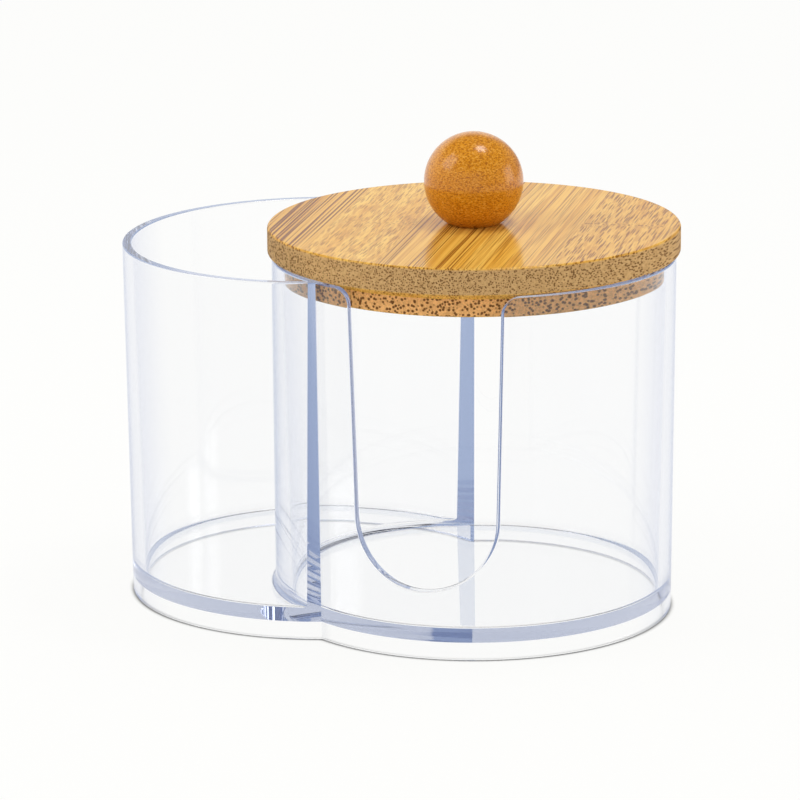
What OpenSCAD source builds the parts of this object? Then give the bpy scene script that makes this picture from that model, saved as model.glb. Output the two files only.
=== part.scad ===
// Clear bathroom tub with two overlapping round compartments. The main one has
// a wooden lid with a ball knob and a tall finger slot. The side one is open.
// Plus Z is up. The two round compartments stand side by side along X, the
// origin is on the table under the middle of the whole object.

/* [Tub] */
// Outer radius of each round compartment at the rim
tube_r = 50; // [44:1:65]
// Distance between the centres of the two compartments
centre_gap = 42; // [36:1:52]
// Height of the tub from the table to the rim
tub_h = 90; // [75:1:130]
// Wall thickness at the rim
wall = 2.3; // [1.8:0.1:3.2]
// Taper of the outside, in degrees from upright
shell_draft = 0.6; // [0.2:0.1:0.9]
// Taper of the inside, in degrees from upright
core_draft = 1.1; // [0.9:0.1:1.4]
// Bevel on the edges of the rim
rim_bevel = 0.4; // [0.2:0.1:0.7]

/* [Floor] */
// Height of the hollow under the floor
skirt_h = 4.2; // [3:0.1:8]
// Thickness of the floor
floor_t = 3.1; // [2:0.1:5]
// Thickness of the skirt where it stands on the table
skirt_wall = 2; // [1.4:0.1:2.6]
// Radius of the cove where the walls meet the floor
cove_r = 1.2; // [0.6:0.1:2]
// Bevel on the outer foot edge
foot_bevel = 0.5; // [0.2:0.1:1]

/* [Finger slot] */
// Radius of the slot's round bottom, which is half its width
slot_r = 17.5; // [12:0.5:20]
// Height of the slot's lowest point above the table
slot_sill = 17; // [14:1:30]
// Lean of the slot's sides, which widens it towards the rim, in degrees
slot_lean = 1.5; // [0.5:0.1:2.5]
// Radius of the slot's corners at the rim
slot_corner_r = 4; // [2:0.5:6]
// Turn of the slot from the front towards the free side, in degrees
slot_turn = 10; // [0:1:20]

/* [Lid] */
// How far the lid reaches past the outside of the rim
lid_overhang = 1; // [0.6:0.1:3]
// Thickness of the lid's upper disc
lid_t = 6.8; // [5:0.1:9]
// Depth of the plug under the disc
plug_t = 6; // [5:0.1:9]
// Gap between the disc and the rim, as the plug's root sits in the rim's bevel
lid_gap = 0.8; // [0.4:0.1:1]
// Gap between the plug and the bore at the rim
plug_clearance = 0.7; // [0.5:0.1:1.5]
// Radius of the lid's edges
lid_edge_r = 0.8; // [0.4:0.1:1.2]

/* [Knob] */
// Radius of the ball
knob_r = 12.25; // [10:0.25:16]
// Radius of the flat seat turned under the ball
knob_seat_r = 6.2; // [4.5:0.1:7]

/* [Knob screw] */
// Radius of the screw's shank
screw_r = 1.75; // [1.5:0.05:2]
// Radius of the countersunk head
screw_head_r = 3.6; // [3.2:0.1:4.2]
// Height of the straight edge of the head
screw_head_edge = 0.4; // [0.2:0.1:0.6]
// Length of the screw from the face of its head to its tip
screw_len = 22; // [20:0.5:24]
// Length of the pointed tip
screw_tip = 3; // [2:0.5:4]
// Gap round the shank and the head in the lid
screw_clearance = 0.2; // [0.1:0.05:0.4]
// Width of the arms of the cross recess
recess_w = 0.9; // [0.7:0.1:1.2]
// Depth of the cross recess
recess_d = 1.6; // [1:0.1:1.8]

/* [Hidden] */
$fn = 96;

// Spare length by which a cutting shape passes through a face
through = 1;
// Depth of the blind hole beyond the tip of the screw
tip_room = 1;
// Radius of the blunt end of the screw's tip
tip_r = 0.4;
// Bevel on the lower edge of the plug
plug_bevel = 0.6;
// Clearance between the root of the plug and the bevel of the rim
seat_clearance = 0.07;

lid_r = tube_r + lid_overhang;
floor_z = skirt_h + floor_t;
plug_r = tube_r - wall - plug_clearance;

// The object reaches from the side tub's free side to the lid's edge
main_x = (centre_gap + tube_r - lid_r) / 2;
side_x = main_x - centre_gap;

// Outer radius of a compartment at height z
function shell_r(z) = tube_r - (tub_h - z) * tan(shell_draft);
// Inner radius of a compartment at height z
function core_r(z) = tube_r - wall - (tub_h - z) * tan(core_draft);

// Middle of the slot's round bottom, and the slope of its sides
slot_z = slot_sill + slot_r;
slot_touch = [slot_r * cos(slot_lean), slot_z - slot_r * sin(slot_lean)];
function slot_side_x(z) = slot_touch[0] + (z - slot_touch[1]) * tan(slot_lean);
slot_corner = [slot_side_x(tub_h - slot_corner_r) + slot_corner_r / cos(slot_lean), tub_h - slot_corner_r];

// The root of the plug widens as the bevel of the rim does, up to the disc
seat_slope = (rim_bevel + core_r(tub_h) - core_r(tub_h - rim_bevel)) / rim_bevel;
function seat_r(z) = core_r(tub_h) + rim_bevel - seat_clearance + (z - tub_h) * seat_slope;
root_z = tub_h - (seat_r(tub_h) - plug_r) / seat_slope;

lid_z = tub_h + lid_gap;
lid_top_z = lid_z + lid_t;
plug_z = lid_z - plug_t;
knob_z = lid_top_z + sqrt(knob_r * knob_r - knob_seat_r * knob_seat_r);
head_taper_h = screw_head_r - screw_r;

// Solid round block of one compartment, with bevels at foot and rim
module shell() {
    rotate_extrude()
        polygon([
            [0, 0],
            [shell_r(0) - foot_bevel, 0],
            [shell_r(foot_bevel), foot_bevel],
            [shell_r(tub_h - rim_bevel), tub_h - rim_bevel],
            [tube_r - rim_bevel, tub_h],
            [0, tub_h]
        ]);
}

// Room inside one compartment, with a cove round the floor
module core() {
    cove_z = floor_z + cove_r;
    cove_x = core_r(cove_z) - cove_r;
    rotate_extrude()
        union() {
            polygon([
                [0, floor_z],
                [cove_x, floor_z],
                [cove_x, cove_z],
                [core_r(cove_z), cove_z],
                [core_r(tub_h - rim_bevel), tub_h - rim_bevel],
                [core_r(tub_h) + rim_bevel, tub_h],
                [core_r(tub_h) + rim_bevel, tub_h + through],
                [0, tub_h + through]
            ]);
            intersection() {
                translate([cove_x, cove_z])
                    circle(cove_r);
                translate([cove_x, floor_z])
                    square(cove_r);
            }
        }
}

// The main compartment as the side compartment sees it: an upright wall with
// a cove at its foot
module divider() {
    cove_z = floor_z + cove_r;
    rotate_extrude()
        difference() {
            polygon([
                [0, floor_z - through],
                [tube_r + cove_r, floor_z - through],
                [tube_r + cove_r, cove_z],
                [tube_r, cove_z],
                [tube_r, tub_h - rim_bevel],
                [tube_r - rim_bevel, tub_h],
                [tube_r - rim_bevel, tub_h + 2 * through],
                [0, tub_h + 2 * through]
            ]);
            translate([tube_r + cove_r, cove_z])
                circle(cove_r);
        }
}

// Shallow hollow under one compartment
module underside() {
    translate([0, 0, -through])
        cylinder(h = skirt_h + through, r = shell_r(0) - skirt_wall);
}

// Outline of the finger slot, seen from its front
module slot_outline() {
    top_z = tub_h + through;
    translate([0, slot_z])
        circle(slot_r);
    polygon([
        [-slot_touch[0], slot_touch[1]],
        [slot_touch[0], slot_touch[1]],
        [slot_side_x(tub_h), tub_h],
        [slot_side_x(tub_h), top_z],
        [-slot_side_x(tub_h), top_z],
        [-slot_side_x(tub_h), tub_h]
    ]);
    for (side = [-1, 1])
        scale([side, 1])
            difference() {
                polygon([
                    slot_corner + slot_corner_r * [-cos(slot_lean), sin(slot_lean)],
                    slot_corner,
                    [slot_corner[0], top_z],
                    [slot_side_x(tub_h) - through, top_z],
                    [slot_side_x(tub_h) - through, tub_h - slot_corner_r]
                ]);
                translate(slot_corner)
                    circle(slot_corner_r);
            }
}

module finger_slot() {
    rotate([0, 0, slot_turn])
        translate([0, -tube_r / 2, 0])
            rotate([90, 0, 0])
                linear_extrude(tube_r)
                    slot_outline();
}

module tub() {
    color([0.84, 0.88, 0.95, 0.45])
        difference() {
            union() {
                translate([main_x, 0, 0]) shell();
                translate([side_x, 0, 0]) shell();
            }
            translate([main_x, 0, 0]) core();
            difference() {
                translate([side_x, 0, 0]) core();
                translate([main_x, 0, 0]) divider();
            }
            translate([main_x, 0, 0]) underside();
            translate([side_x, 0, 0]) underside();
            translate([main_x, 0, 0]) finger_slot();
        }
}

// Half section of the lid: the wide disc with rounded edges, and the plug with
// its chamfered root
module lid_section() {
    e = lid_edge_r;
    translate([0, lid_z]) {
        square([lid_r - e, lid_t]);
        translate([0, e])
            square([lid_r, lid_t - 2 * e]);
        for (z = [e, lid_t - e])
            translate([lid_r - e, z])
                circle(e);
    }
    polygon([
        [0, plug_z],
        [plug_r - plug_bevel, plug_z],
        [plug_r, plug_z + plug_bevel],
        [plug_r, root_z],
        [seat_r(lid_z), lid_z],
        [seat_r(lid_z), lid_z + e],
        [0, lid_z + e]
    ]);
}

module lid() {
    hole_r = screw_r + screw_clearance;
    head_hole_r = screw_head_r + screw_clearance;
    color("burlywood")
        translate([main_x, 0, 0])
            difference() {
                rotate_extrude()
                    lid_section();
                translate([0, 0, plug_z - through])
                    cylinder(h = lid_t + plug_t + 2 * through, r = hole_r);
                translate([0, 0, plug_z - through])
                    cylinder(h = screw_head_edge + through, r = head_hole_r);
                translate([0, 0, plug_z + screw_head_edge])
                    cylinder(h = head_taper_h, r1 = screw_head_r, r2 = screw_r);
            }
}

module knob() {
    bore_top_z = plug_z + screw_len + tip_room;
    color("peru")
        translate([main_x, 0, 0])
            difference() {
                intersection() {
                    translate([0, 0, knob_z])
                        sphere(knob_r);
                    translate([0, 0, lid_top_z])
                        cylinder(h = 3 * knob_r, r = 2 * knob_r);
                }
                translate([0, 0, lid_top_z - through])
                    cylinder(h = bore_top_z - lid_top_z + through, r = screw_r);
            }
}

module knob_screw() {
    tip_z = plug_z + screw_len;
    taper_z = plug_z + screw_head_edge;
    color("silver")
        translate([main_x, 0, 0])
            difference() {
                rotate_extrude()
                    polygon([
                        [0, plug_z],
                        [screw_head_r, plug_z],
                        [screw_head_r, taper_z],
                        [screw_r, taper_z + head_taper_h],
                        [screw_r, tip_z - screw_tip],
                        [tip_r, tip_z],
                        [0, tip_z]
                    ]);
                for (turn = [0, 90])
                    rotate([0, 0, turn])
                        translate([-screw_head_r / 2, -recess_w / 2, plug_z - through])
                            cube([screw_head_r, recess_w, recess_d + through]);
            }
}

tub();
lid();
knob();
knob_screw();
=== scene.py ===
"""Looks of the clear organizer with a bamboo lid: camera, studio light, materials and fine pieces."""

import math

import bpy
import numpy as np
from mathutils import Euler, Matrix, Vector
from mathutils.geometry import delaunay_2d_cdt


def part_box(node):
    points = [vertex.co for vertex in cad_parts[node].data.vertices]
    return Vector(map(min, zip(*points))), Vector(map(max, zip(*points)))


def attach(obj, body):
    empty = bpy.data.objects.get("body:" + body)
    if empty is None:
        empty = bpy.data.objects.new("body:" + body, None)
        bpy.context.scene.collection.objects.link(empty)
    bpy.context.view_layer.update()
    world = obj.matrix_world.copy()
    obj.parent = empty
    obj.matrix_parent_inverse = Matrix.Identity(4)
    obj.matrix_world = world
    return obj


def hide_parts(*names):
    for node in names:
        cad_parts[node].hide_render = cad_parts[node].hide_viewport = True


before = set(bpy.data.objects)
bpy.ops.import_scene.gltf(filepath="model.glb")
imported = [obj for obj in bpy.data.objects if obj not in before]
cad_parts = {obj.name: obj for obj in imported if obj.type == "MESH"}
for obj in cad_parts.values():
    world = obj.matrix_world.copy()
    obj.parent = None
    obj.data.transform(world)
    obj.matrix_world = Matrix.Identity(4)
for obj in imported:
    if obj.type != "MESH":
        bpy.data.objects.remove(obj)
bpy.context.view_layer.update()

MM = 0.001
UP, DOWN = (0, 0, 1), (0, 0, -1)

# Places in millimetres, read from the frame
lid_low, lid_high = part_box("lid")
TUB_H = round(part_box("tub")[1].z / MM, 2)
MAIN = round((lid_low.x + lid_high.x) / 2 / MM, 2)
LID_TOP = round(lid_high.z / MM, 2)
PLUG_Z = round(lid_low.z / MM, 2)
KNOB_TOP = round(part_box("knob")[1].z / MM, 3)

# Tub, in millimetres and degrees
TUB_R = 50.0
CENTRE_GAP = 42.0
SIDE = MAIN - CENTRE_GAP
WALL = 2.3
SHELL_DRAFT, CORE_DRAFT = 0.6, 1.1
EDGE_R = 0.4
FOOT_EDGE = 0.5
SKIRT_H, SKIRT_WALL = 4.2, 2.0
FLOOR_TOP = 7.3
COVE_R = 1.2

# Finger slot, in millimetres and radians
SLOT_R = 17.5
SLOT_Z = 34.5
SLOT_CORNER = 4.0
SLOT_LEAN = math.radians(1.5)
SLOT_TURN = math.radians(10)
SLOT_ANGLE = SLOT_TURN - math.pi / 2

# Lid and knob, in millimetres
LID_R = 51.0
LID_Z = 90.8
LID_EDGE_R = 0.8
LID_RING_R = 20.0
PLUG_R = 47.0
PLUG_EDGE_R = 0.6
SEAT_R = 48.6
SEAT_SLOPE = 1.02
LID_HOLE_R, HEAD_HOLE_R, HEAD_EDGE = 1.95, 3.8, 0.4
KNOB_R = 12.25
KNOB_SEAT_R = 6.2
BORE_R, BORE_TOP = 1.75, 107.8

# Fineness of the meshes: steps round a turned piece, along each arc and up the walls, and the
# spacing in millimetres of the points inside a large wall
LATHE_STEPS = 192
BALL_STEPS = 90
EDGE_STEPS = 4
COVE_STEPS = 6
RIM_STEPS, RIM_END_STEPS, INNER_RIM_STEPS = 110, 6, 150
FOOT_STEPS = 120
CRESCENT_STEPS, DIVIDER_STEPS = 130, 60
SLOT_CORNER_STEPS, SLOT_STEPS = 10, 26
LEVELS, CRESCENT_LEVELS = 40, 36
NET_STEP = 2.4

# Camera at the photograph's viewing angle
CAMERA_PLACE = Vector((0.51677, -1.06500, 0.35474))
CAMERA_AZIMUTH = math.radians(25.89)
CAMERA_PITCH = math.radians(14.42)
CAMERA_ROLL = math.radians(-0.47)
CAMERA_LENS = 219.4
SENSOR = 36.0

# Strips of the board from its right end to its left: how bold and how short the fibres
# look, how dark the strip is, and the place of a node along it in millimetres, which is off the
# board at 60. Places are stored as shares of a span that reaches as far to either side
GRAIN_TURN = math.radians(103.5)
STRIP_W = 20.3
STRIP_START = -67.4
KNOT_SPAN = 100
STRIPS = (
    (0.6, 0.3, 0.3, 30),
    (0.7, 0.7, 0.45, 4),
    (0.35, 0.1, 0.25, 60),
    (0.8, 0.0, 0.3, 60),
    (0.35, 1.0, 0.2, -3),
    (1.0, 0.0, 0.5, 60),
)

# The white that the camera sees behind the object, and the level of the room
WHITE = (1.0, 1.0, 0.985, 1.0)
ROOM_LIGHT = (0.76, 0.76, 0.76, 1.0)
# Dark parts of the studio: the ceiling, which reflections and clear pieces see, and a card on the
# right that only reflections see
CEILING = (0.05, 0.055, 0.085, 1.0)
CARD = (0.22, 0.24, 0.32, 1.0)
CARD_SIDE = (0.9, 0.437)
# How bright reflections see the room behind the camera, and how steeply up a ray points where the
# ceiling begins and where it is full
FRONT_TONE = 0.78
CEILING_FROM, CEILING_FULL = 0.45, 0.62
# Lamps: name, direction from the ball, distance, size and radiance; they aim at this height
LAMP_AIM = 105 * MM
LAMPS = (
    ("top_box", (0.172, 0.141, 0.975), 0.6, 0.15, 11.0),
    ("left_box", (-0.624, -0.418, 0.66), 0.8, 0.4, 2.6),
    ("right_box", (0.865, 0.472, 0.17), 0.9, 0.4, 2.0),
)
# Tint of clear walls at a grazing angle, a painted edge shade; the colours of the painted glow that ends a
# ray at the front and at the rear, the ray depth past which it counts as trapped, and what the plastic
# absorbs
EDGE_PAINTED_SHADE = (0.7, 0.73, 0.86, 1.0)
PAINTED_GLOW_FRONT = (0.84, 0.87, 0.95, 1.0)
PAINTED_GLOW_REAR = (0.52, 0.61, 0.78, 1.0)
TRAPPED_DEPTH = 12.0
ABSORPTION = (0.3, 0.38, 0.6, 1.0)
ABSORPTION_DENSITY = 10.0
MOST_BOUNCES, DIFFUSE_BOUNCES, CLAMP = 20, 4, 4
# The floor lies a hair under the foot, so that the two faces are apart. The glows are the shares
# of plain white in what the camera sees of it and in what mirrored rays and clear pieces see of
# it, and a painted contact shadow darkens that glow near a contact
FLOOR_Z = -0.03 * MM
FLOOR_HALF = 3.0
CAMERA_GLOW, CLEAR_GLOW = 0.92, 0.97
CONTACT_SHADOW_REACH = 1.2 * MM

# Spacing of the bamboo's fibres in millimetres: on the disc, round a node and on the plug
FIBRE_GAP, KNOT_GAP, PLUG_GAP = 0.52, 0.9, 0.85
# Depth of the relief in bamboo and lacquer
BUMP_DEPTH = 0.05 * MM


def linear(r, g, b):
    """A display colour from 0 to 255 as the linear colour that a shader takes."""
    def one(c):
        c /= 255
        return c / 12.92 if c <= 0.04045 else ((c + 0.055) / 1.055) ** 2.4
    return (one(r), one(g), one(b), 1.0)


class Nodes:
    """Short calls for building a node tree."""

    def __init__(self, tree):
        self.tree = tree
        tree.nodes.clear()

    def add(self, kind, **settings):
        node = self.tree.nodes.new(kind)
        for name, value in settings.items():
            setattr(node, name, value)
        return node

    def join(self, source, target):
        self.tree.links.new(source, target)

    def put(self, socket, value):
        """Links a socket, or sets a number, to an input."""
        if isinstance(value, bpy.types.NodeSocket):
            self.join(value, socket)
        else:
            socket.default_value = value

    def math(self, operation, a, b=0.0, c=0.0, clamp=False):
        node = self.add("ShaderNodeMath", operation=operation, use_clamp=clamp)
        for socket, value in zip(node.inputs, (a, b, c)):
            self.put(socket, value)
        return node.outputs[0]

    def mix(self, factor, a, b):
        node = self.add("ShaderNodeMix", data_type="RGBA")
        self.put(node.inputs["Factor"], factor)
        self.put(node.inputs["A"], a)
        self.put(node.inputs["B"], b)
        return node.outputs["Result"]

    def combine(self, x, y, z):
        node = self.add("ShaderNodeCombineXYZ")
        for socket, value in zip(node.inputs, (x, y, z)):
            self.put(socket, value)
        return node.outputs[0]

    def separate(self, vector):
        node = self.add("ShaderNodeSeparateXYZ")
        self.join(vector, node.inputs[0])
        return node.outputs

    def noise(self, vector, scale, detail=2.0, roughness=0.5):
        node = self.add("ShaderNodeTexNoise")
        self.join(vector, node.inputs["Vector"])
        node.inputs["Scale"].default_value = scale
        node.inputs["Detail"].default_value = detail
        node.inputs["Roughness"].default_value = roughness
        return node.outputs["Fac"]

    def voronoi(self, vector, gap):
        """Distance to the nearest of points that lie about one gap apart, in gaps."""
        node = self.add("ShaderNodeTexVoronoi")
        self.join(vector, node.inputs["Vector"])
        node.inputs["Scale"].default_value = 1 / gap
        return node.outputs["Distance"]

    def bump(self, height, strength, invert=False):
        """Fine relief from a height, as a normal."""
        node = self.add("ShaderNodeBump", invert=invert)
        node.inputs["Strength"].default_value = strength
        node.inputs["Distance"].default_value = BUMP_DEPTH
        self.join(height, node.inputs["Height"])
        return node.outputs[0]

    def mix_shaders(self, factor, a, b, out):
        """Shows shader a at factor 0 and shader b at factor 1."""
        node = self.add("ShaderNodeMixShader")
        self.join(factor, node.inputs[0])
        self.join(a.outputs[0], node.inputs[1])
        self.join(b.outputs[0], node.inputs[2])
        self.join(node.outputs[0], out.inputs["Surface"])

    def ramp(self, value, *stops, steps=False):
        """A ramp, or steps; each stop is a place and a grey value or a colour."""
        node = self.add("ShaderNodeValToRGB")
        elements = node.color_ramp.elements
        if steps:
            node.color_ramp.interpolation = "CONSTANT"
        while len(elements) < len(stops):
            elements.new(1.0)
        for element, (place, value_there) in zip(elements, stops):
            element.position = place
            grey = isinstance(value_there, (int, float))
            element.color = (value_there,) * 3 + (1.0,) if grey else value_there
        self.join(value, node.inputs["Fac"])
        return node.outputs["Color"]


class Skin:
    """Faces of one closed mesh in millimetres, with the true surface normal at each corner."""

    def __init__(self):
        self.index = {}
        self.points = []
        self.faces = []
        self.normals = []

    def vertex(self, point):
        key = tuple(round(c, 4) for c in point)
        if key not in self.index:
            self.index[key] = len(self.points)
            self.points.append(point)
        return self.index[key]

    def face(self, corners):
        """Adds a face from pairs of point and normal, turned to look along its normals."""
        ids = [self.vertex(point) for point, normal in corners]
        kept = [i for i in range(len(ids)) if ids[i] != ids[i - 1]]
        if len(kept) < 3:
            return
        a, b, c = (Vector(corners[i][0]) for i in kept[:3])
        if (b - a).cross(c - a).dot(Vector(corners[kept[0]][1])) < 0:
            kept.reverse()
        self.faces.append([ids[i] for i in kept])
        self.normals += [Vector(corners[i][1]).normalized() for i in kept]

    def grid(self, rows, closed=False):
        """Faces between rows that have the same number of points."""
        for near, far in zip(rows, rows[1:]):
            count = len(near)
            for i in range(count if closed else count - 1):
                j = (i + 1) % count
                self.face([near[i], near[j], far[j], far[i]])

    def patch(self, loops, surface, step=None):
        """Triangles inside closed outlines of a surface that two lengths describe."""
        loops = [[p for i, p in enumerate(loop) if math.dist(p, loop[i - 1]) > 1e-6] for loop in loops]
        places = [place for loop in loops for place in loop]
        edges = []
        for loop in loops:
            start = len(edges)
            edges += [(start + i, start + (i + 1) % len(loop)) for i in range(len(loop))]
        if step:
            places += filling(places, edges, step)
        made = delaunay_2d_cdt([Vector(place) for place in places], edges, [], 0, 1e-5)
        true_place = [places[sources[0]] if sources else tuple(v) for v, sources in zip(made[0], made[3])]
        middles = np.array([[sum(true_place[i][k] for i in tri) / 3 for k in (0, 1)] for tri in made[2]])
        for tri, keep in zip(made[2], inside(middles, places, edges)):
            if keep:
                self.face([surface(*true_place[i]) for i in tri])

    def build(self, name):
        mesh = bpy.data.meshes.new(name)
        mesh.from_pydata([Vector(p) * MM for p in self.points], [], self.faces, shade_flat=False)
        mesh.normals_split_custom_set(self.normals)
        piece = bpy.data.objects.new(name, mesh)
        bpy.context.scene.collection.objects.link(piece)
        return piece


def inside(tests, places, edges):
    """Which test points lie inside the outline, by counting the edges to their right."""
    places = np.array(places)
    a, b = (places[[edge[k] for edge in edges]] for k in (0, 1))
    x, y = tests[:, :1], tests[:, 1:]
    crosses = (a[:, 1] > y) != (b[:, 1] > y)
    rise = np.where(a[:, 1] == b[:, 1], 1.0, b[:, 1] - a[:, 1])
    edge_x = a[:, 0] + (y - a[:, 1]) * (b[:, 0] - a[:, 0]) / rise
    return (crosses & (x < edge_x)).sum(axis=1) % 2 == 1


def filling(places, edges, step):
    """Places in a staggered net inside the outline, and not too near to its points."""
    corners = np.array(places)
    low, high = corners.min(axis=0), corners.max(axis=0)
    net = []
    for row, y in enumerate(np.arange(low[1] + step / 2, high[1], step)):
        for x in np.arange(low[0] + step * (0.25 + row % 2 / 2), high[0], step):
            net.append((x, y))
    net = np.array(net)
    gap = np.min(np.hypot(net[:, :1] - corners[:, 0], net[:, 1:] - corners[:, 1]), axis=1)
    net = net[(gap > 0.6 * step) & inside(net, places, edges)]
    return [tuple(place) for place in net.tolist()]


def spread(start, end, count):
    return [start + (end - start) * i / count for i in range(count + 1)]


def rounding(steps=EDGE_STEPS):
    """Angles from the start to the end of a quarter round."""
    return spread(0.0, math.pi / 2, steps)


def polar(centre_x, radius, angle, z):
    return (centre_x + radius * math.cos(angle), radius * math.sin(angle), z)


def blend(a, b, angle):
    """Normal on a round edge, from a at angle 0 to b at a right angle."""
    return tuple(Vector(a) * math.cos(angle) + Vector(b) * math.sin(angle))


def lathe(skin, runs, centre_x):
    """Turns runs of (radius, height, angle of the normal) round an upright axis."""
    for run in runs:
        rows = []
        for radius, z, tilt in run:
            flat = math.cos(tilt)
            row = []
            for angle in spread(0.0, 2 * math.pi, LATHE_STEPS)[:-1]:
                normal = (flat * math.cos(angle), flat * math.sin(angle), math.sin(tilt))
                row.append((polar(centre_x, radius, angle, z), normal))
            rows.append(row)
        skin.grid(rows, closed=True)


def outer_normal(angle):
    """Normal of the tapered outside."""
    lean = math.radians(SHELL_DRAFT)
    return (math.cos(angle) * math.cos(lean), math.sin(angle) * math.cos(lean), -math.sin(lean))


def inner_normal(angle):
    """Normal of the tapered inside, towards the room."""
    lean = math.radians(CORE_DRAFT)
    return (-math.cos(angle) * math.cos(lean), -math.sin(angle) * math.cos(lean), math.sin(lean))


def shell_r(z):
    return TUB_R - (TUB_H - z) * math.tan(math.radians(SHELL_DRAFT))


def core_r(z):
    return TUB_R - WALL - (TUB_H - z) * math.tan(math.radians(CORE_DRAFT))


def back_crease(radius):
    """Angle round the main centre at which two circles of this radius meet at the back."""
    return math.acos(-CENTRE_GAP / 2 / radius)


def slot_outline():
    """Points (across, height) with directions into the wall, from the left corner to the right one."""
    touch_x = SLOT_R * math.cos(SLOT_LEAN)
    touch_z = SLOT_Z - SLOT_R * math.sin(SLOT_LEAN)
    corner_z = TUB_H - SLOT_CORNER
    side_x = touch_x + (corner_z - touch_z) * math.tan(SLOT_LEAN)
    corner_x = side_x + SLOT_CORNER / math.cos(SLOT_LEAN)
    half = []
    for turn in spread(math.pi / 2, math.pi - SLOT_LEAN, SLOT_CORNER_STEPS):
        away = (math.cos(turn), math.sin(turn))
        half.append((corner_x + SLOT_CORNER * away[0], corner_z + SLOT_CORNER * away[1], -away[0], -away[1]))
    top_x, top_z, into_x, into_z = half[-1]
    for share in spread(0.0, 1.0, SLOT_STEPS)[1:]:
        across = top_x + (touch_x - top_x) * share
        half.append((across, top_z + (touch_z - top_z) * share, into_x, into_z))
    for turn in spread(-SLOT_LEAN, -math.pi / 2, SLOT_STEPS)[1:]:
        away = (math.cos(turn), math.sin(turn))
        half.append((SLOT_R * away[0], SLOT_Z + SLOT_R * away[1], away[0], away[1]))
    left = [(-x, z, -into_x, into_z) for x, z, into_x, into_z in half]
    return left + half[-2::-1]


def rim_paths(radius):
    """Angles along the rim at one radius: main circle, side circle and main circle again."""
    corner = math.asin(slot_outline()[-1][0] / radius)
    back = back_crease(radius)
    first = spread(SLOT_ANGLE + corner, back, RIM_STEPS)
    side = spread(math.pi - back, math.pi + back, RIM_STEPS)
    last = spread(-back, SLOT_ANGLE - corner, RIM_END_STEPS)
    return first, side, last


def slot_point(place, radius_at, offset, depth):
    """Point on the wall at the slot, with its angle and height on that wall."""
    across, z, into_x, into_z = place
    across += into_x * offset
    z += into_z * offset
    radius = radius_at(z) + depth
    angle = SLOT_ANGLE + math.asin(across / radius)
    return polar(MAIN, radius, angle, z), angle, z


def slot_face_normal(place):
    into_x, into_z = place[2:]
    return (-into_x * math.cos(SLOT_TURN), -into_x * math.sin(SLOT_TURN), -into_z)


def edge_rows(radius_at, depth_sign, wall_normal, rim):
    """Rows of the round edge of a wall along the rim and the slot; rim gives the angles of a radius."""
    rows = []
    for turn in rounding():
        offset = EDGE_R * (1 - math.sin(turn))
        depth = depth_sign * EDGE_R * (1 - math.cos(turn))
        z = TUB_H - offset
        radius = radius_at(z) + depth
        row = []
        for centre_x, angles in rim(radius):
            for angle in angles:
                row.append((polar(centre_x, radius, angle, z), blend(wall_normal(angle), UP, turn)))
        for place in slot_outline():
            point, angle, z = slot_point(place, radius_at, offset, depth)
            row.append((point, blend(wall_normal(angle), slot_face_normal(place), turn)))
        rows.append(row)
    return rows


def outer_rim(radius):
    first, side, last = rim_paths(radius)
    return [(MAIN, first), (SIDE, side), (MAIN, last)]


def inner_rim(radius):
    corner = math.asin(slot_outline()[-1][0] / radius)
    start, end = SLOT_ANGLE + corner, SLOT_ANGLE - corner + 2 * math.pi
    return [(MAIN, spread(start, end, INNER_RIM_STEPS))]


def outer_rounds(radius):
    """Centre and angles of the two arcs that make up the outline of the foot at one radius."""
    back = back_crease(radius)
    main = spread(-back, back, FOOT_STEPS)
    side = spread(math.pi - back, math.pi + back, FOOT_STEPS)
    return (MAIN, main), (SIDE, side)


def add_outside(skin):
    """Outer walls of both compartments, with the slot's opening cut out of the main one."""
    def main_wall(along, z):
        angle = along / TUB_R
        return polar(MAIN, shell_r(z), angle, z), outer_normal(angle)

    def side_wall(along, z):
        angle = along / TUB_R
        return polar(SIDE, shell_r(z), angle, z), outer_normal(angle)

    top, foot = TUB_H - EDGE_R, FOOT_EDGE
    first, side, last = rim_paths(shell_r(top))
    levels = spread(foot, top, LEVELS)[1:-1]
    main_foot, side_foot = (angles for centre_x, angles in outer_rounds(shell_r(foot)))
    loop = [(angle * TUB_R, foot) for angle in main_foot]
    loop += [(back_crease(shell_r(z)) * TUB_R, z) for z in levels]
    loop += [(angle * TUB_R, top) for angle in reversed(first)]
    for place in reversed(slot_outline()[1:-1]):
        point, angle, z = slot_point(place, shell_r, EDGE_R, 0)
        loop.append((angle * TUB_R, z))
    loop += [(angle * TUB_R, top) for angle in reversed(last)]
    loop += [(-back_crease(shell_r(z)) * TUB_R, z) for z in reversed(levels)]
    skin.patch([loop], main_wall, NET_STEP)
    loop = [(angle * TUB_R, foot) for angle in side_foot]
    loop += [((math.pi + back_crease(shell_r(z))) * TUB_R, z) for z in levels]
    loop += [(angle * TUB_R, top) for angle in reversed(side)]
    loop += [((math.pi - back_crease(shell_r(z))) * TUB_R, z) for z in reversed(levels)]
    skin.patch([loop], side_wall, NET_STEP)


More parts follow.
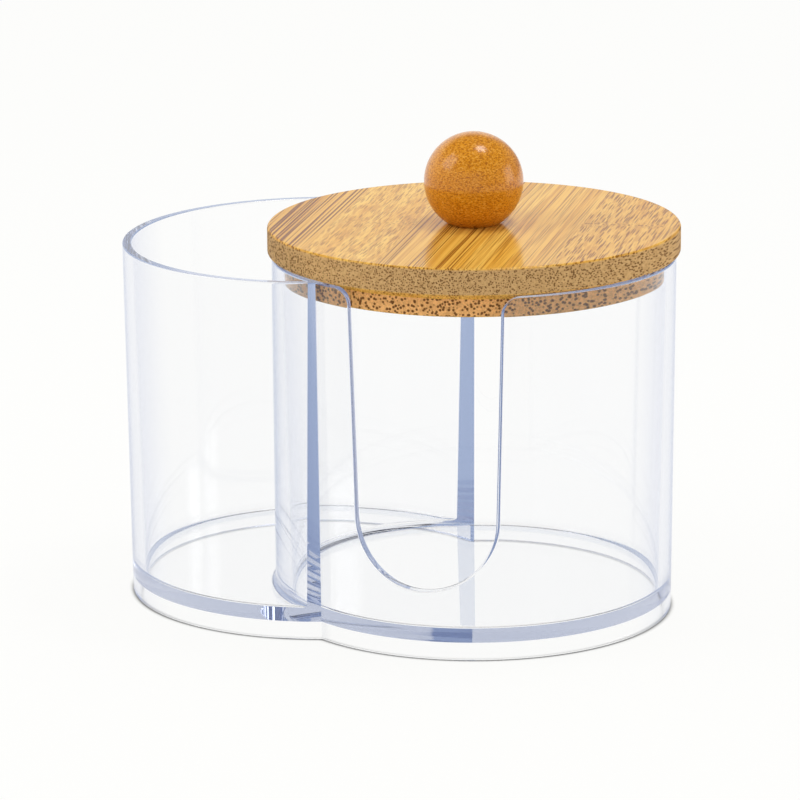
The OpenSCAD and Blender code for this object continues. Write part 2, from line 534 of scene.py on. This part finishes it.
def add_foot(skin):
    """Round outer foot edge, the ring that stands on the table and the hollow under the floor."""
    rings = ([], [])
    for turn in rounding():
        z = FOOT_EDGE * (1 - math.sin(turn))
        radius = shell_r(z) - FOOT_EDGE * (1 - math.cos(turn))
        for rows, (centre_x, angles) in zip(rings, outer_rounds(radius)):
            row = []
            for angle in angles:
                normal = blend(outer_normal(angle), DOWN, turn)
                row.append((polar(centre_x, radius, angle, z), normal))
            rows.append(row)
    for rows in rings:
        skin.grid(rows)
    radius = shell_r(0) - SKIRT_WALL
    hollow = []
    for centre_x, angles in outer_rounds(radius):
        rows = []
        for z in (0, SKIRT_H):
            row = []
            for angle in angles:
                row.append((polar(centre_x, radius, angle, z), (-math.cos(angle), -math.sin(angle), 0)))
            rows.append(row)
        skin.grid(rows)
        hollow += [point[:2] for point, normal in rows[0][:-1]]
    outline = [point[:2] for rows in rings for point, normal in rows[-1][:-1]]
    skin.patch([outline, hollow], lambda x, y: ((x, y, 0), DOWN))
    skin.patch([hollow], lambda x, y: ((x, y, SKIRT_H), DOWN))


def add_main_room(skin):
    """Wall, cove and floor of the main compartment."""
    seam = SLOT_ANGLE + math.pi

    def wall(along, z):
        angle = along / TUB_R
        return polar(MAIN, core_r(z), angle, z), inner_normal(angle)

    top, foot = TUB_H - EDGE_R, FLOOR_TOP + COVE_R
    rim = inner_rim(core_r(top))[0][1]
    half = len(rim) // 2
    levels = spread(foot, top, LEVELS)[1:-1]
    turns = spread(seam - 2 * math.pi, seam, INNER_RIM_STEPS)
    loop = [(angle * TUB_R, foot) for angle in turns]
    loop += [(seam * TUB_R, z) for z in levels]
    loop += [(angle * TUB_R, top) for angle in reversed(rim[:half + 1])]
    for place in reversed(slot_outline()[1:-1]):
        point, angle, z = slot_point(place, core_r, EDGE_R, 0)
        loop.append((angle * TUB_R, z))
    loop += [((angle - 2 * math.pi) * TUB_R, top) for angle in reversed(rim[half:])]
    loop += [((seam - 2 * math.pi) * TUB_R, z) for z in reversed(levels)]
    skin.patch([loop], wall, NET_STEP)
    rows = []
    for turn in rounding(COVE_STEPS):
        z = foot - COVE_R * math.sin(turn)
        radius = core_r(foot) - COVE_R * (1 - math.cos(turn))
        rows.append([(polar(MAIN, radius, a, z), blend(inner_normal(a), UP, turn)) for a in turns[:-1]])
    skin.grid(rows, closed=True)
    skin.patch([[point[:2] for point, normal in rows[-1]]], lambda x, y: ((x, y, FLOOR_TOP), UP))


def room_row(z, side_radius, main_radius, turn):
    """One level of the crescent room: its outer wall and the dividing wall."""
    x = (CENTRE_GAP ** 2 + side_radius ** 2 - main_radius ** 2) / (2 * CENTRE_GAP)
    y = math.sqrt(side_radius ** 2 - x ** 2)
    corner = math.atan2(y, x)
    wall = [
        (polar(SIDE, side_radius, a, z), blend(inner_normal(a), UP, turn))
        for a in spread(corner, 2 * math.pi - corner, CRESCENT_STEPS)
    ]
    corner = math.atan2(y, x - CENTRE_GAP)
    divider = [
        (polar(MAIN, main_radius, a, z), blend((math.cos(a), math.sin(a), 0), UP, turn))
        for a in spread(2 * math.pi - corner, corner, DIVIDER_STEPS)
    ]
    return wall, divider


def add_side_room(skin):
    """Walls, coves and floor of the crescent compartment; gives its outline at the rim."""
    levels = []
    for turn in reversed(rounding()):
        z = TUB_H - EDGE_R * (1 - math.sin(turn))
        depth = EDGE_R * (1 - math.cos(turn))
        levels.append(room_row(z, core_r(z) + depth, TUB_R - depth, turn))
    foot = FLOOR_TOP + COVE_R
    for z in spread(TUB_H - EDGE_R, foot, CRESCENT_LEVELS)[1:]:
        levels.append(room_row(z, core_r(z), TUB_R, 0))
    for turn in rounding(COVE_STEPS)[1:]:
        z = foot - COVE_R * math.sin(turn)
        depth = COVE_R * (1 - math.cos(turn))
        levels.append(room_row(z, core_r(foot) - depth, TUB_R + depth, turn))
    skin.grid([wall for wall, divider in levels])
    skin.grid([divider for wall, divider in levels])

    def outline(level):
        wall, divider = level
        return [point[:2] for point, normal in wall[:-1] + divider[:-1]]

    skin.patch([outline(levels[-1])], lambda x, y: ((x, y, FLOOR_TOP), UP))
    return outline(levels[0])


def add_tub(made):
    """The moulded tub with its round edges, in the place of the CAD solid."""
    skin = Skin()
    outer = edge_rows(shell_r, -1, outer_normal, outer_rim)
    inner = edge_rows(core_r, 1, inner_normal, inner_rim)
    skin.grid(outer, closed=True)
    skin.grid(inner, closed=True)
    slot = slot_outline()
    faces = [slot_face_normal(place) for place in slot]
    slot_rows = []
    for rows in (outer, inner):
        points = [point for point, normal in rows[-1][-len(slot):]]
        slot_rows.append(list(zip(points, faces)))
    skin.grid(slot_rows)
    rim_loop = [point[:2] for point, normal in outer[-1][:-len(slot)]]
    rim_loop += [point[:2] for point, normal in reversed(inner[-1][:-len(slot)])]
    crescent = add_side_room(skin)
    skin.patch([rim_loop, crescent], lambda x, y: ((x, y, TUB_H), UP))
    add_outside(skin)
    add_foot(skin)
    add_main_room(skin)
    place_piece(skin, "clear_tub", "tub", "tub", made)


def place_piece(skin, name, node, body, made):
    """Builds a skin's mesh as the shown piece of a CAD node."""
    piece = skin.build(name)
    piece.data.materials.append(made)
    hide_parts(node)
    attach(piece, body)


def arc_run(radius, z, size, start, end, steps=6):
    """Round edge of a turned outline: its points and the angles of their normals."""
    return [(radius + size * math.cos(a), z + size * math.sin(a), a) for a in spread(start, end, steps)]


def add_lid(made):
    """The milled lid with its plug, the chamfer at the plug's root and the countersunk hole."""
    quarter = math.pi / 2
    root_z = LID_Z - (SEAT_R - PLUG_R) / SEAT_SLOPE
    root_tilt = -math.atan(SEAT_SLOPE)
    head_z = PLUG_Z + HEAD_EDGE
    taper_z = head_z + HEAD_HOLE_R - LID_HOLE_R
    edge_x = LID_R - LID_EDGE_R
    runs = [
        [(LID_HOLE_R, LID_TOP, quarter), (LID_RING_R, LID_TOP, quarter), (edge_x, LID_TOP, quarter)],
        arc_run(edge_x, LID_TOP - LID_EDGE_R, LID_EDGE_R, quarter, 0),
        [(LID_R, LID_TOP - LID_EDGE_R, 0), (LID_R, LID_Z + LID_EDGE_R, 0)],
        arc_run(edge_x, LID_Z + LID_EDGE_R, LID_EDGE_R, 0, -quarter),
        [(edge_x, LID_Z, -quarter), (SEAT_R, LID_Z, -quarter)],
        [(SEAT_R, LID_Z, root_tilt), (PLUG_R, root_z, root_tilt)],
        [(PLUG_R, root_z, 0), (PLUG_R, PLUG_Z + PLUG_EDGE_R, 0)],
        arc_run(PLUG_R - PLUG_EDGE_R, PLUG_Z + PLUG_EDGE_R, PLUG_EDGE_R, 0, -quarter),
        [(PLUG_R - PLUG_EDGE_R, PLUG_Z, -quarter), (HEAD_HOLE_R, PLUG_Z, -quarter)],
        [(HEAD_HOLE_R, PLUG_Z, math.pi), (HEAD_HOLE_R, head_z, math.pi)],
        [(HEAD_HOLE_R, head_z, -3 * quarter / 2), (LID_HOLE_R, taper_z, -3 * quarter / 2)],
        [(LID_HOLE_R, taper_z, math.pi), (LID_HOLE_R, LID_TOP, math.pi)],
    ]
    skin = Skin()
    lathe(skin, runs, MAIN)
    place_piece(skin, "bamboo_lid", "lid", "lid", made)


def add_knob(made):
    """The turned ball with its flat seat and blind bore."""
    quarter = math.pi / 2
    centre = KNOB_TOP - KNOB_R
    seat = math.acos(KNOB_SEAT_R / KNOB_R)
    tilts = spread(quarter, -seat, BALL_STEPS)
    ball = [(KNOB_R * math.cos(a), centre + KNOB_R * math.sin(a), a) for a in tilts]
    runs = [
        ball,
        [(ball[-1][0], ball[-1][1], -quarter), (BORE_R, LID_TOP, -quarter)],
        [(BORE_R, LID_TOP, math.pi), (BORE_R, BORE_TOP, math.pi)],
        [(BORE_R, BORE_TOP, -quarter), (0, BORE_TOP, -quarter)],
    ]
    skin = Skin()
    lathe(skin, runs, MAIN)
    place_piece(skin, "ball_knob", "knob", "lid", made)


def material(name):
    made = bpy.data.materials.new(name)
    made.use_nodes = True
    n = Nodes(made.node_tree)
    shader = n.add("ShaderNodeBsdfPrincipled")
    out = n.add("ShaderNodeOutputMaterial")
    n.join(shader.outputs[0], out.inputs["Surface"])
    return made, n, shader, out


def clear_plastic():
    """Polished plastic. Walls seen at a grazing angle take a lavender tint, a painted edge shade, and a ray
    that stays trapped past many turns ends on a painted pale blue glow, so that no black is left in the
    corners."""
    made, n, shader, out = material("clear_plastic")
    shader.inputs["Roughness"].default_value = 0.0
    shader.inputs["IOR"].default_value = 1.5
    shader.inputs["Transmission Weight"].default_value = 1.0
    # Painted edge shade: upright walls seen at a grazing angle take a lavender tint in place of the darker
    # edges that light gives
    weight = n.add("ShaderNodeLayerWeight")
    grazing = n.ramp(weight.outputs["Facing"], (0.45, 0.0), (0.95, 1.0))
    up = n.separate(n.add("ShaderNodeNewGeometry").outputs["Normal"])[2]
    upright = n.ramp(n.math("ABSOLUTE", up), (0.1, 1.0), (0.5, 0.0))
    tint = n.mix(n.math("MULTIPLY", grazing, upright), (1.0, 1.0, 1.0, 1.0), EDGE_PAINTED_SHADE)
    n.join(tint, shader.inputs["Base Color"])
    absorption = n.add("ShaderNodeVolumeAbsorption")
    absorption.inputs["Color"].default_value = ABSORPTION
    absorption.inputs["Density"].default_value = ABSORPTION_DENSITY
    n.join(absorption.outputs[0], out.inputs["Volume"])
    # Painted glow: past the trapped ray depth the plastic emits pale blue at the front and a darker blue at
    # the rear
    trapped = n.math("GREATER_THAN", n.add("ShaderNodeLightPath").outputs["Ray Depth"], TRAPPED_DEPTH)
    glow = n.add("ShaderNodeEmission")
    y = n.separate(n.add("ShaderNodeTexCoord").outputs["Object"])[1]
    rear = n.ramp(n.math("MULTIPLY_ADD", y, 10.0, 0.5), (0.2, 0.0), (0.5, 1.0))
    n.join(n.mix(rear, PAINTED_GLOW_FRONT, PAINTED_GLOW_REAR), glow.inputs["Color"])
    n.mix_shaders(trapped, shader, glow, out)
    return made


def along_grain(n, turn):
    """Coordinates that run along the grain, across it and up, in millimetres from the lid's axis."""
    place = n.add("ShaderNodeTexCoord").outputs["Object"]
    moved = n.add("ShaderNodeVectorMath", operation="SUBTRACT")
    n.join(place, moved.inputs[0])
    moved.inputs[1].default_value = (MAIN * MM, 0, 0)
    scaled = n.add("ShaderNodeVectorMath", operation="SCALE")
    n.join(moved.outputs[0], scaled.inputs[0])
    scaled.inputs["Scale"].default_value = 1 / MM
    turned = n.add("ShaderNodeVectorRotate", rotation_type="Z_AXIS")
    n.join(scaled.outputs[0], turned.inputs["Vector"])
    turned.inputs["Angle"].default_value = -turn
    return n.separate(turned.outputs[0])


def strip_traits(n, v):
    """What STRIPS says at a place across the board: bold, short, dark and the node's place."""
    place = n.math("DIVIDE", n.math("SUBTRACT", v, STRIP_START), STRIP_W * len(STRIPS))
    looks, knots = [], []
    for i, strip in enumerate(STRIPS):
        looks.append((i / len(STRIPS), (*strip[:3], 1.0)))
        knots.append((i / len(STRIPS), (strip[3] + KNOT_SPAN) / (2 * KNOT_SPAN)))
    split = n.add("ShaderNodeSeparateColor")
    n.join(n.ramp(place, *looks, steps=True), split.inputs[0])
    knot = n.math("MULTIPLY_ADD", n.ramp(place, *knots, steps=True), 2 * KNOT_SPAN, -KNOT_SPAN)
    return (*split.outputs[:3], knot)


def bamboo():
    """Board of wide strips. Its fibres run through it: lines on top, dots at the ends."""
    made, n, shader, out = material("bamboo")
    u, v, w = along_grain(n, GRAIN_TURN)
    bold, short, dark, knot = strip_traits(n, v)
    strip = n.math("FLOOR", n.math("DIVIDE", n.math("SUBTRACT", v, STRIP_START), STRIP_W))

    # Long or short fibres, and the dots of a node band where a strip has one
    wave = n.noise(n.combine(n.math("MULTIPLY", u, 0.05), v, w), 0.25, 1)
    v = n.math("MULTIPLY_ADD", wave, 0.8, v)
    reach = n.math("MULTIPLY_ADD", short, 0.07, 0.005)
    slow_u = n.math("MULTIPLY_ADD", strip, 7.3, n.math("MULTIPLY", u, reach))
    fibres = n.voronoi(n.combine(slow_u, v, w), FIBRE_GAP)
    apart = n.math("MULTIPLY_ADD", bold, -0.06, fibres)
    lines = n.ramp(apart, (0.28, 1.0), (0.4, 0.0))
    knots = n.voronoi(n.combine(n.math("MULTIPLY", u, 0.6), v, w), KNOT_GAP)
    knot_dots = n.ramp(knots, (0.3, 1.0), (0.5, 0.0))
    bend = n.noise(n.combine(u, v, w), 0.12, 2)
    from_knot = n.math("SUBTRACT", n.math("MULTIPLY_ADD", bend, 6, u), n.math("ADD", knot, 3))
    near = n.ramp(n.math("MULTIPLY", n.math("ABSOLUTE", from_knot), 0.1), (0.05, 1.0), (0.32, 0.0))
    lines = n.mix(near, lines, knot_dots)
    streak = n.ramp(n.noise(n.combine(slow_u, v, w), 1.5, 3, 0.8), (0.44, 0.0), (0.56, 1.0))
    broad = n.ramp(n.noise(n.combine(slow_u, v, w), 0.22, 2), (0.3, 0.0), (0.7, 1.0))

    top = n.mix(broad, linear(250, 206, 102), linear(238, 182, 74))
    top = n.mix(dark, top, linear(220, 160, 64))
    top = n.mix(n.math("MULTIPLY", streak, 0.5), top, linear(178, 108, 26))
    line_depth = n.math("MULTIPLY_ADD", bold, 0.7, 0.25)
    top = n.mix(n.math("MULTIPLY", lines, line_depth), top, linear(118, 58, 0))

    # Cut ends are duller, and the plug is redder with coarser dots
    coarse = n.voronoi(n.combine(n.math("MULTIPLY", u, 0.05), v, w), PLUG_GAP)
    coarse_dots = n.ramp(coarse, (0.32, 1.0), (0.48, 0.0))
    plug = n.math("LESS_THAN", w, LID_Z - 0.05)
    end = n.mix(plug, linear(212, 172, 116), linear(252, 192, 122))
    end = n.mix(n.math("MULTIPLY", streak, 0.35), end, linear(150, 104, 56))
    dots = n.mix(plug, lines, coarse_dots)
    depth = n.math("MULTIPLY_ADD", plug, 0.1, 0.8)
    end = n.mix(n.math("MULTIPLY", dots, depth), end, linear(92, 54, 24))
    tilt = n.math("ABSOLUTE", n.separate(n.add("ShaderNodeNewGeometry").outputs["Normal"])[2])
    tone = n.mix(n.ramp(tilt, (0.3, 0.0), (0.8, 1.0)), end, top)
    n.join(tone, shader.inputs["Base Color"])
    n.join(n.bump(lines, 0.25, invert=True), shader.inputs["Normal"])
    shader.inputs["Roughness"].default_value = 0.5
    shader.inputs["Specular IOR Level"].default_value = 0.0
    shader.inputs["Coat Roughness"].default_value = 0.16
    n.join(n.ramp(tilt, (0.5, 0.1), (0.9, 0.6)), shader.inputs["Coat Weight"])
    return made


def lacquered_wood():
    """Turned and lacquered ball with fine flecks."""
    made, n, shader, out = material("lacquered_wood")
    u, v, w = along_grain(n, math.radians(20))
    fleck = n.noise(n.combine(n.math("MULTIPLY", u, 0.6), n.math("MULTIPLY", v, 0.6), w), 3.0, 4, 0.7)
    cloud = n.noise(n.combine(u, v, n.math("MULTIPLY", w, 2.5)), 0.12, 2)
    tone = n.mix(n.ramp(cloud, (0.35, 0.0), (0.65, 1.0)), linear(230, 152, 18), linear(220, 142, 10))
    tone = n.mix(n.ramp(fleck, (0.48, 0.0), (0.6, 0.85)), tone, linear(160, 88, 6))
    tone = n.mix(n.ramp(fleck, (0.36, 0.7), (0.46, 0.0)), tone, linear(236, 180, 84))
    n.join(tone, shader.inputs["Base Color"])
    relief = n.bump(fleck, 0.3)
    n.join(relief, shader.inputs["Normal"])
    n.join(relief, shader.inputs["Coat Normal"])
    shader.inputs["Roughness"].default_value = 0.4
    shader.inputs["Specular IOR Level"].default_value = 0.1
    shader.inputs["Coat Weight"].default_value = 0.75
    shader.inputs["Coat Roughness"].default_value = 0.16
    return made


def screw_steel():
    made, n, shader, out = material("screw_steel")
    shader.inputs["Base Color"].default_value = (0.6, 0.6, 0.62, 1.0)
    shader.inputs["Metallic"].default_value = 1.0
    u, v, w = along_grain(n, 0.0)
    rub = n.noise(n.combine(u, v, w), 3.0, 2)
    n.join(n.ramp(rub, (0.3, 0.25), (0.7, 0.4)), shader.inputs["Roughness"])
    return made


def dress(node, made):
    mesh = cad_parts[node].data
    if not mesh.materials:
        mesh.materials.append(made)
    for i in range(len(mesh.materials)):
        mesh.materials[i] = made


def add_camera():
    data = bpy.data.cameras.new("camera")
    data.lens = CAMERA_LENS
    data.sensor_width = SENSOR
    data.clip_start, data.clip_end = 0.01, 50
    camera = bpy.data.objects.new("camera", data)
    camera.location = CAMERA_PLACE
    turn = Euler((math.pi / 2 - CAMERA_PITCH, 0, CAMERA_AZIMUTH), "XYZ").to_matrix()
    roll = Euler((0, 0, CAMERA_ROLL), "XYZ").to_matrix()
    camera.rotation_euler = (turn @ roll).to_euler()
    bpy.context.scene.collection.objects.link(camera)
    bpy.context.scene.camera = camera


def add_area(name, place, target, size, power):
    data = bpy.data.lights.new(name, "AREA")
    data.shape = "RECTANGLE"
    data.size = data.size_y = size
    data.energy = power
    lamp = bpy.data.objects.new(name, data)
    lamp.location = place
    lamp.rotation_euler = (Vector(target) - Vector(place)).to_track_quat("-Z", "Y").to_euler()
    bpy.context.scene.collection.objects.link(lamp)


def add_world():
    """White to the camera and through the plastic. Reflections see a dark ceiling and a dark card,
    and a slightly dimmer room behind the camera."""
    world = bpy.data.worlds.new("studio")
    bpy.context.scene.world = world
    world.use_nodes = True
    n = Nodes(world.node_tree)
    out = n.add("ShaderNodeOutputWorld")
    shine = n.add("ShaderNodeBackground")
    n.join(shine.outputs[0], out.inputs["Surface"])
    path = n.add("ShaderNodeLightPath")
    x, y, z = n.separate(n.add("ShaderNodeTexCoord").outputs["Generated"])
    front = n.ramp(n.math("MULTIPLY_ADD", y, 0.5, 0.5), (0.15, FRONT_TONE), (0.5, 1.0))
    height = n.ramp(z, (CEILING_FROM, 0.0), (CEILING_FULL, 1.0))
    side = n.math("MULTIPLY_ADD", y, CARD_SIDE[1], n.math("MULTIPLY", x, CARD_SIDE[0]))
    card = n.ramp(side, (0.2, 0.0), (0.4, 1.0))
    shine_tone = n.mix(height, n.mix(card, front, CARD), CEILING)
    tone = n.mix(path.outputs["Is Glossy Ray"], ROOM_LIGHT, shine_tone)
    tone = n.mix(path.outputs["Is Transmission Ray"], tone, n.mix(height, WHITE, CEILING))
    tone = n.mix(path.outputs["Is Camera Ray"], tone, WHITE)
    n.join(tone, shine.inputs["Color"])


def add_floor():
    """Lit like any floor, with most of its light added only where the camera, a mirrored ray or a
    clear piece looks at it; that added light carries a painted contact shadow and, for mirrored rays, a
    painted shade towards the front."""
    mesh = bpy.data.meshes.new("floor")
    corners = [(x * FLOOR_HALF, y * FLOOR_HALF, FLOOR_Z) for x, y in ((-1, -1), (1, -1), (1, 1), (-1, 1))]
    mesh.from_pydata(corners, [], [(0, 1, 2, 3)])
    floor = bpy.data.objects.new("floor", mesh)
    bpy.context.scene.collection.objects.link(floor)
    made, n, shader, out = material("floor")
    shader.inputs["Base Color"].default_value = (0.9, 0.9, 0.9, 1.0)
    shader.inputs["Roughness"].default_value = 0.6
    shader.inputs["Specular IOR Level"].default_value = 0.0
    glow = n.add("ShaderNodeEmission")
    # Painted contact shadow: occlusion within a short reach darkens the floor's glow near the tub
    contact = n.add("ShaderNodeAmbientOcclusion", samples=4)
    contact.inputs["Distance"].default_value = CONTACT_SHADOW_REACH
    shade = n.ramp(contact.outputs["AO"], (0.4, 0.15), (0.85, 1.0))
    path = n.add("ShaderNodeLightPath")
    y = n.separate(n.add("ShaderNodeTexCoord").outputs["Object"])[1]
    # Painted shade: mirrored rays that miss the plastic see the floor's glow dimmer towards the front
    front = n.ramp(n.math("ADD", y, 0.5), (0.2, FRONT_TONE), (0.6, 1.0))
    glossy, clear = path.outputs["Is Glossy Ray"], path.outputs["Is Transmission Ray"]
    outside = n.math("SUBTRACT", glossy, clear, clamp=True)
    white = n.mix(outside, WHITE, front)
    n.join(n.mix(shade, (0.0, 0.0, 0.0, 1.0), white), glow.inputs["Color"])
    seen = n.math("MULTIPLY", path.outputs["Is Camera Ray"], CAMERA_GLOW)
    through = n.math("MAXIMUM", clear, glossy)
    seen = n.math("MAXIMUM", seen, n.math("MULTIPLY", through, CLEAR_GLOW))
    n.mix_shaders(seen, shader, glow, out)
    mesh.materials.append(made)


def light_paths():
    cycles = bpy.context.scene.cycles
    cycles.max_bounces = MOST_BOUNCES
    cycles.transmission_bounces = MOST_BOUNCES
    cycles.glossy_bounces = MOST_BOUNCES
    cycles.diffuse_bounces = DIFFUSE_BOUNCES
    cycles.sample_clamp_indirect = CLAMP


def add_lamps():
    """Soft boxes placed by the highlights that they leave on the ball."""
    target = Vector((MAIN * MM, 0, LAMP_AIM))
    for name, way, distance, size, radiance in LAMPS:
        power = radiance * math.pi * size * size
        add_area(name, target + Vector(way).normalized() * distance, target, size, power)


bpy.context.scene.view_settings.view_transform = "Standard"
light_paths()
add_camera()
add_world()
add_floor()
add_lamps()
dress("knob_screw", screw_steel())
add_tub(clear_plastic())
add_lid(bamboo())
add_knob(lacquered_wood())
